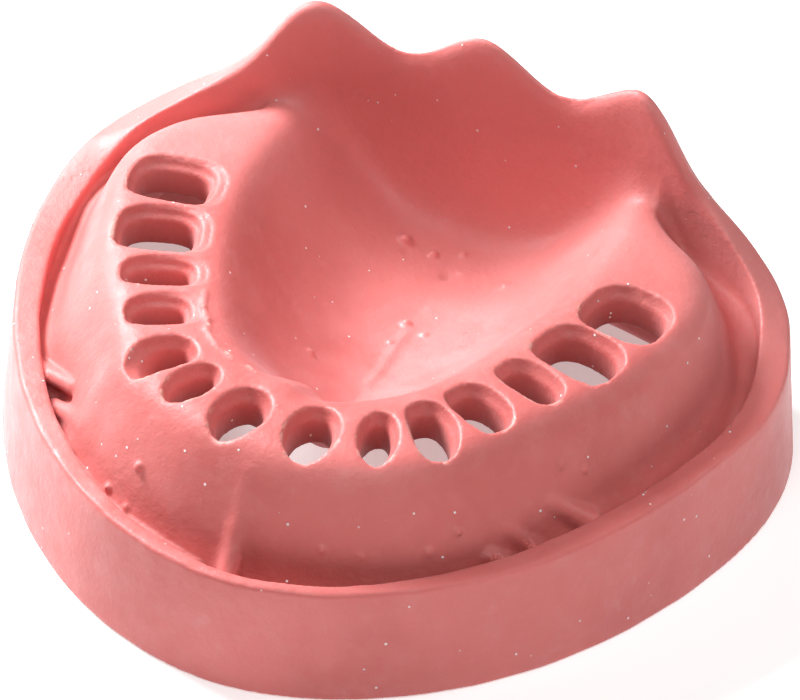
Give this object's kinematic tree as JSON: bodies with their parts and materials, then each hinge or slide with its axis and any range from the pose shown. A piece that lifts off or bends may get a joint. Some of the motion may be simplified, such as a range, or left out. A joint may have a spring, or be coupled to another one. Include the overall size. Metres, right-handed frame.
{
  "type": "dental training gum, upper jaw",
  "caption": "One-piece soft gum of an upper jaw for tooth training models: horseshoe ridge with open tooth sockets, palate, rimmed wall and peaked back.",
  "frame": {"origin": "centre of the bounding box on the plane of the base edge", "axes": "+X across the jaw, -Y towards the lips, +Z from the base edge up to the tooth sockets"},
  "size_m": [0.0832, 0.071, 0.034],
  "materials": {
    "gum_silicone": "satin, slightly translucent pink silicone"
  },
  "bodies": {
    "root": {"gum_moulding": "gum_silicone"}
  },
  "joints": []
}
